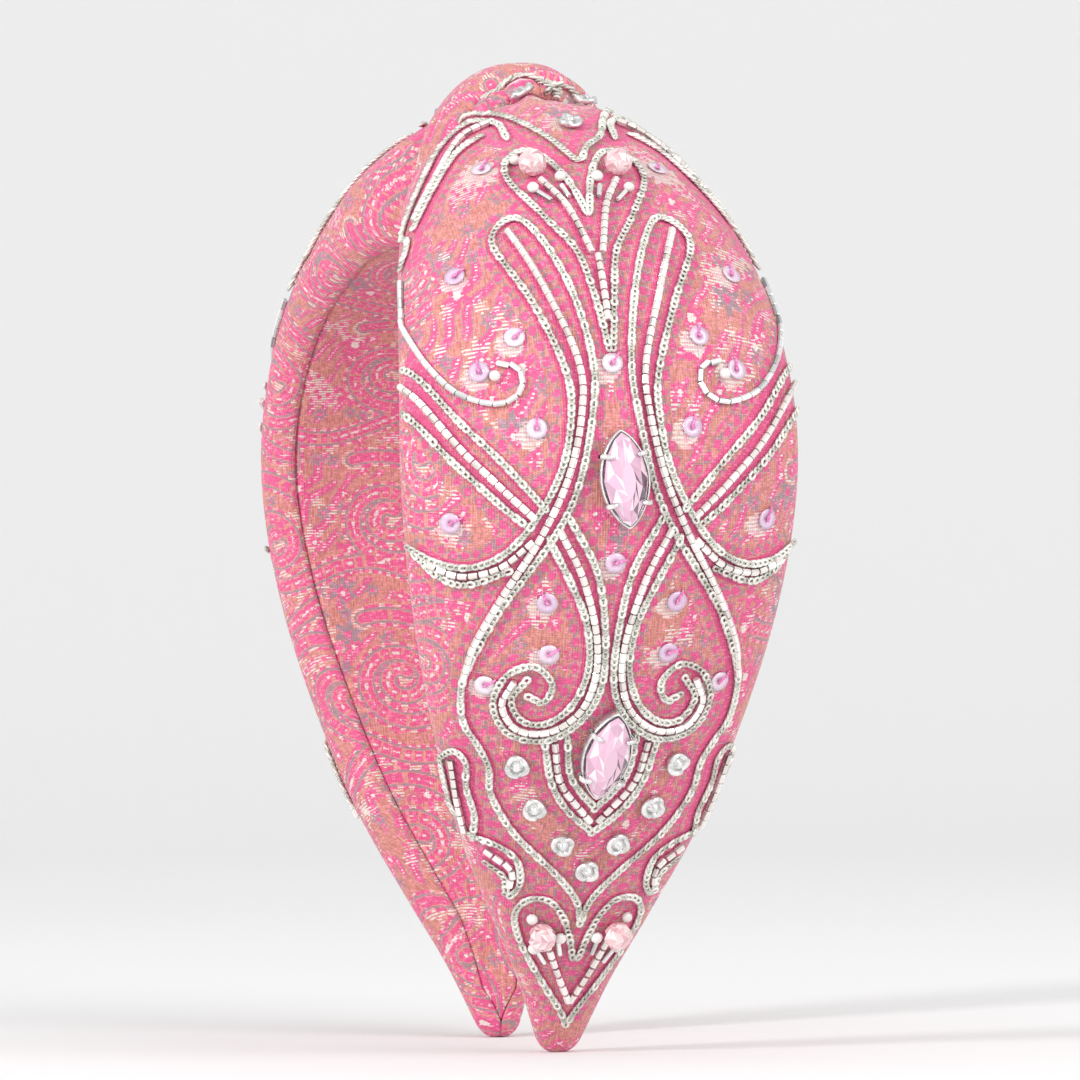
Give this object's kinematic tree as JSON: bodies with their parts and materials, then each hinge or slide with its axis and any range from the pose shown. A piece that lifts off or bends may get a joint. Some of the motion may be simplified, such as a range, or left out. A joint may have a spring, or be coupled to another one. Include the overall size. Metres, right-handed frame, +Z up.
{
  "type": "knotted headband",
  "caption": "Padded knotted headband in brocade with beaded and corded embroidery on both legs, set crystals and a padded wrap at the crown.",
  "frame": {"origin": "on the ground midway between the two tips, with the headband standing on them", "axes": "+X from the left leg to the right leg, ear to ear; +Y across the band; +Z up to the knot"},
  "size_m": [0.16, 0.0648, 0.1634],
  "materials": {
    "brocade": "silk brocade, salmon ground with hot pink, grey lilac and off-white figures",
    "lining_brocade": "the same brocade, unembroidered",
    "wadding": "soft foam wadding",
    "core_plastic": "moulded, slightly springy",
    "crystal": "faceted, foil backed",
    "bead_glass": "faceted",
    "silver_metal": "silver plated"
  },
  "bodies": {
    "crown": {"band_core": "core_plastic", "lining": "lining_brocade", "crown_pad": "wadding", "left_gather": "brocade", "right_gather": "brocade", "knot_wrap": "brocade", "knot_roll": "wadding", "left_crown_rosette_1": "silver_metal", "left_crown_rosette_2": "silver_metal", "right_crown_rosette_1": "silver_metal", "right_crown_rosette_2": "silver_metal"},
    "left_leg": {"left_cover": "brocade", "left_pad": "wadding", "left_upper_crystal": "crystal", "left_upper_setting": "silver_metal", "left_lower_crystal": "crystal", "left_lower_setting": "silver_metal", "left_rosette_1": "silver_metal", "left_rosette_2": "silver_metal", "left_rosette_3": "silver_metal", "left_rosette_4": "silver_metal", "left_rosette_5": "silver_metal", "left_rosette_6": "silver_metal", "left_rosette_7": "silver_metal", "left_rosette_8": "silver_metal", "left_faceted_bead_1": "bead_glass", "left_faceted_bead_2": "bead_glass", "left_faceted_bead_3": "bead_glass", "left_faceted_bead_4": "bead_glass"},
    "right_leg": {"right_cover": "brocade", "right_pad": "wadding", "right_upper_crystal": "crystal", "right_upper_setting": "silver_metal", "right_lower_crystal": "crystal", "right_lower_setting": "silver_metal", "right_rosette_1": "silver_metal", "right_rosette_2": "silver_metal", "right_rosette_3": "silver_metal", "right_rosette_4": "silver_metal", "right_rosette_5": "silver_metal", "right_rosette_6": "silver_metal", "right_rosette_7": "silver_metal", "right_rosette_8": "silver_metal", "right_faceted_bead_1": "bead_glass", "right_faceted_bead_2": "bead_glass", "right_faceted_bead_3": "bead_glass", "right_faceted_bead_4": "bead_glass"}
  },
  "joints": [
    {"name": "left_flex", "type": "hinge", "parent": "crown", "child": "left_leg", "pos_m": [-0.02003, 0, 0.13539], "axis": [0, 1, 0], "range_deg": [-4, 13], "stiffness_Nm_per_rad": 1.5, "deforming": ["band_core", "lining"]},
    {"name": "right_flex", "type": "hinge", "parent": "crown", "child": "right_leg", "pos_m": [0.02003, 0, 0.13539], "axis": [0, -1, 0], "range_deg": [-4, 13], "stiffness_Nm_per_rad": 1.5, "deforming": ["band_core", "lining"]}
  ]
}
